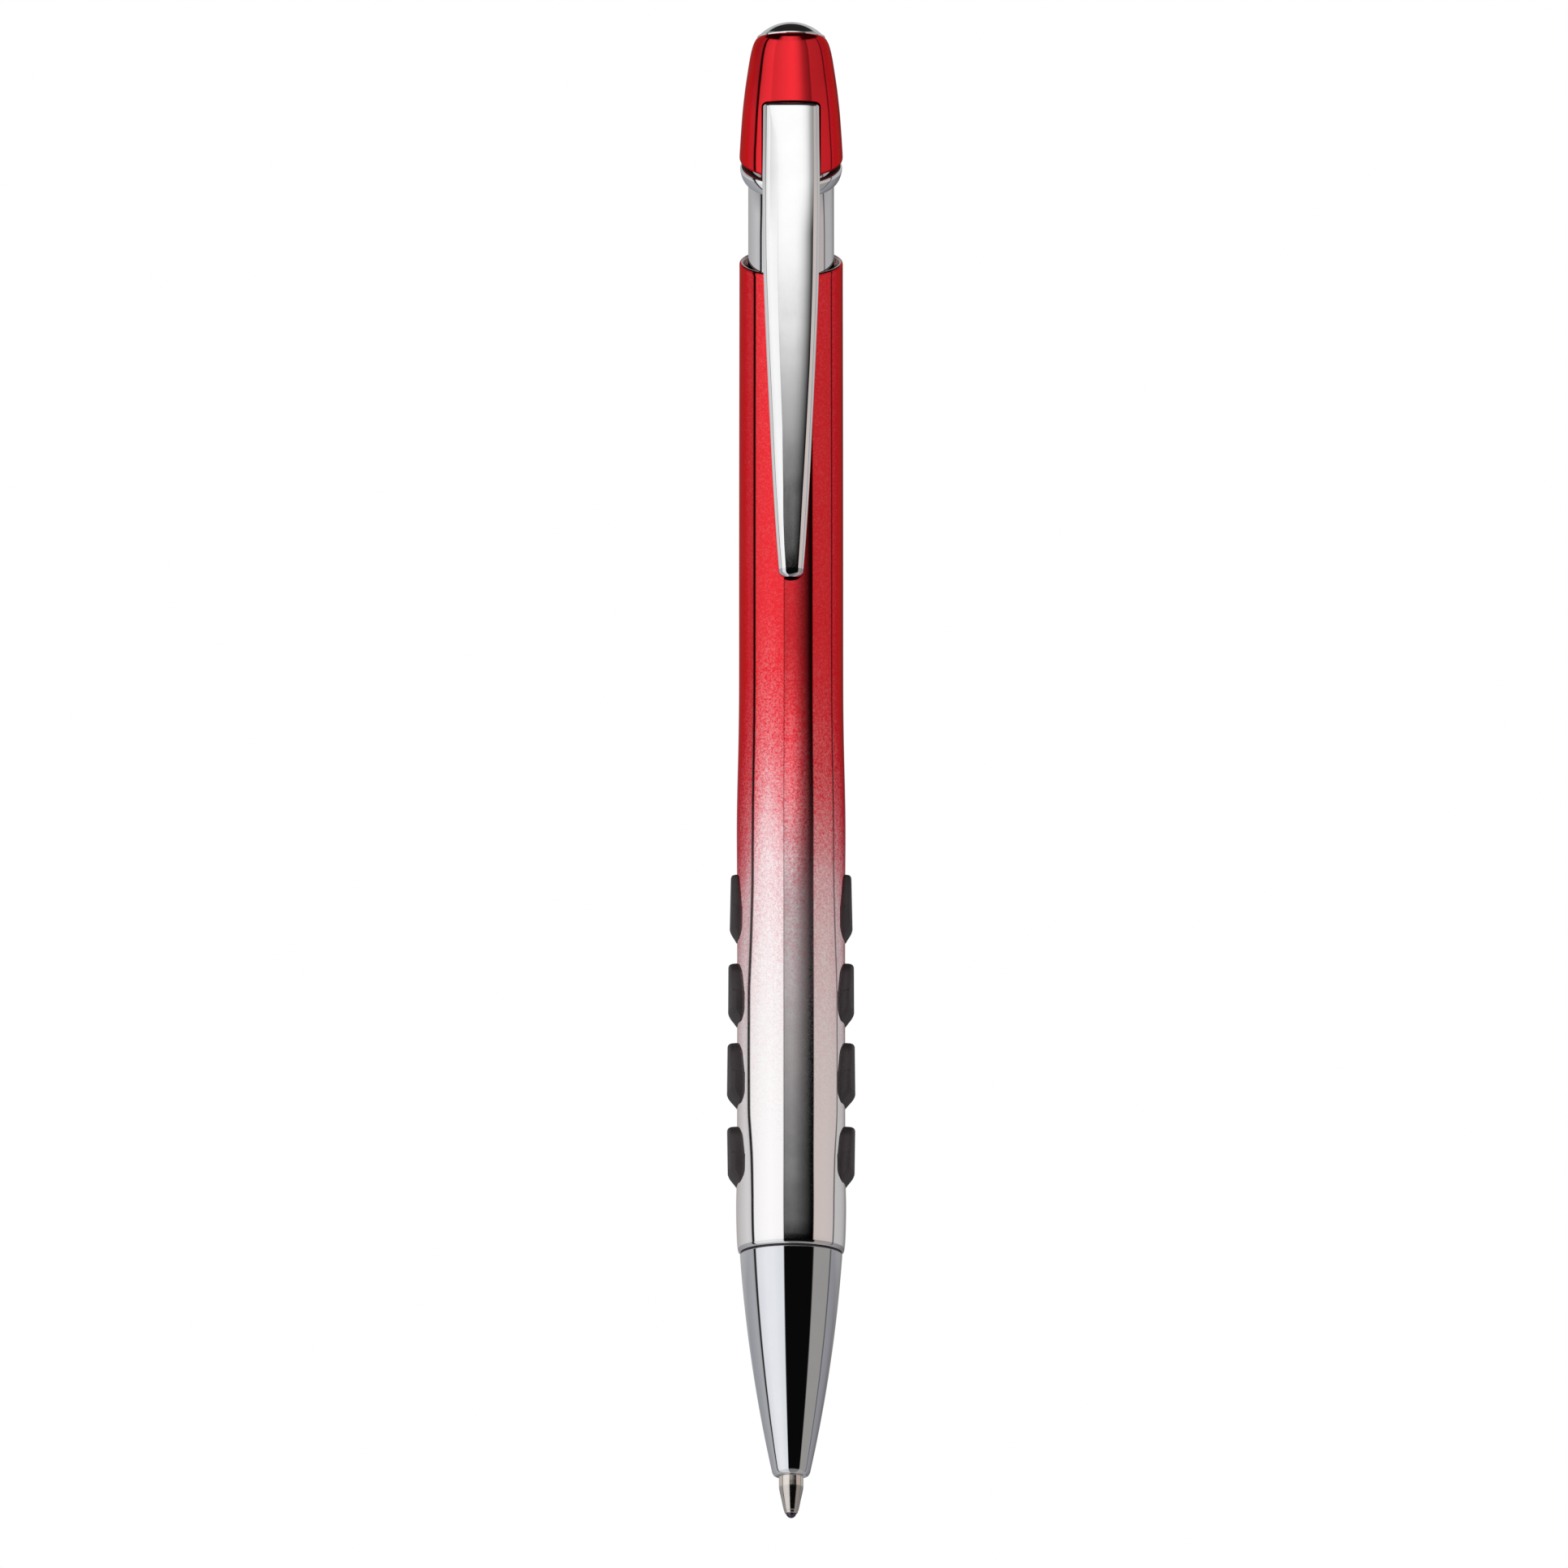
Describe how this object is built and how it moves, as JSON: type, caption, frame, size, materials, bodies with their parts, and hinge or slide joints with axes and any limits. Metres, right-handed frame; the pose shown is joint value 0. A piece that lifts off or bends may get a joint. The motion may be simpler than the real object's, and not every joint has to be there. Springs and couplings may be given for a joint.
{
  "type": "retractable ballpoint pen",
  "caption": "Push-cap retractable ballpoint pen with a sprung clip, slanted cap, rubber side grips and a screw-off nose cone.",
  "frame": {"origin": "the writing point: the lowest point of the ball, on the pen's axis, with the point out", "axes": "+Z along the pen's axis from the point to the finial; the clip is on the -Y side; +X to the right seen from the clip side"},
  "size_m": [0.012, 0.0116, 0.1429],
  "materials": {
    "barrel_finish": "mirror metal, translucent red lacquer sprayed off to bare chrome towards the nose",
    "red_lacquer": "translucent red lacquer over polished metal",
    "chrome_plate": "polished",
    "grip_rubber": "matt moulded",
    "brass_turned": "turned",
    "dark_plastic": "moulded",
    "white_plastic": "moulded acetal",
    "refill_plastic": "translucent tube",
    "ink": "wet",
    "nickel_silver": "fine turned nickel silver",
    "carbide": "polished",
    "spring_steel": "drawn wire"
  },
  "bodies": {
    "barrel_assembly": {"barrel": "barrel_finish", "grip_strip_left": "grip_rubber", "grip_strip_right": "grip_rubber", "thread_bush": "brass_turned", "guide_bush": "dark_plastic", "cam_guide": "dark_plastic"},
    "seal_ring": {"nose_seal_ring": "grip_rubber"},
    "nose": {"nose_cone": "chrome_plate"},
    "refill": {"refill_point": "nickel_silver", "refill_tube": "refill_plastic", "ink_column": "ink", "refill_plug": "dark_plastic", "return_spring": "spring_steel"},
    "writing_ball": {"refill_ball": "carbide"},
    "rotor": {"cam_rotor": "white_plastic"},
    "push_cap": {"cap_shell": "red_lacquer", "cap_core": "dark_plastic", "collar": "chrome_plate", "plunger_tube": "chrome_plate", "push_rod": "white_plastic", "finial": "chrome_plate", "finial_nut": "brass_turned"},
    "clip_arm": {"clip": "chrome_plate"}
  },
  "joints": [
    {"name": "cap_push", "type": "slide", "parent": "barrel_assembly", "child": "push_cap", "axis": [0, 0, 1], "range_m": [-0.0012, 0.005]},
    {"name": "refill_feed", "type": "slide", "parent": "barrel_assembly", "child": "refill", "axis": [0, 0, 1], "range_m": [-0.0012, 0.005], "deforming": ["return_spring"]},
    {"name": "ball_roll", "type": "hinge", "parent": "refill", "child": "writing_ball", "pos_m": [0, 0, 0.00049], "axis": [1, 0, 0], "continuous": true},
    {"name": "rotor_turn", "type": "hinge", "parent": "refill", "child": "rotor", "pos_m": [0, 0, 0.108], "axis": [0, 0, 1], "continuous": true},
    {"name": "clip_flex", "type": "hinge", "parent": "push_cap", "child": "clip_arm", "pos_m": [0, -0.0041, 0.1336], "axis": [1, 0, 0], "range_deg": [-3.5, 0]},
    {"name": "nose_travel", "type": "slide", "parent": "barrel_assembly", "child": "seal_ring", "axis": [0, 0, 1], "range_m": [-0.005, 0]},
    {"name": "nose_screw", "type": "hinge", "parent": "seal_ring", "child": "nose", "pos_m": [0, 0, 0.02], "axis": [0, 0, 1], "range_deg": [-1801, 1]}
  ],
  "couplings": [
    {"joint": "refill_feed", "follows": "cap_push", "ratio": 1},
    {"joint": "nose_screw", "follows": "nose_travel", "rad_per_m": 6283.2}
  ]
}
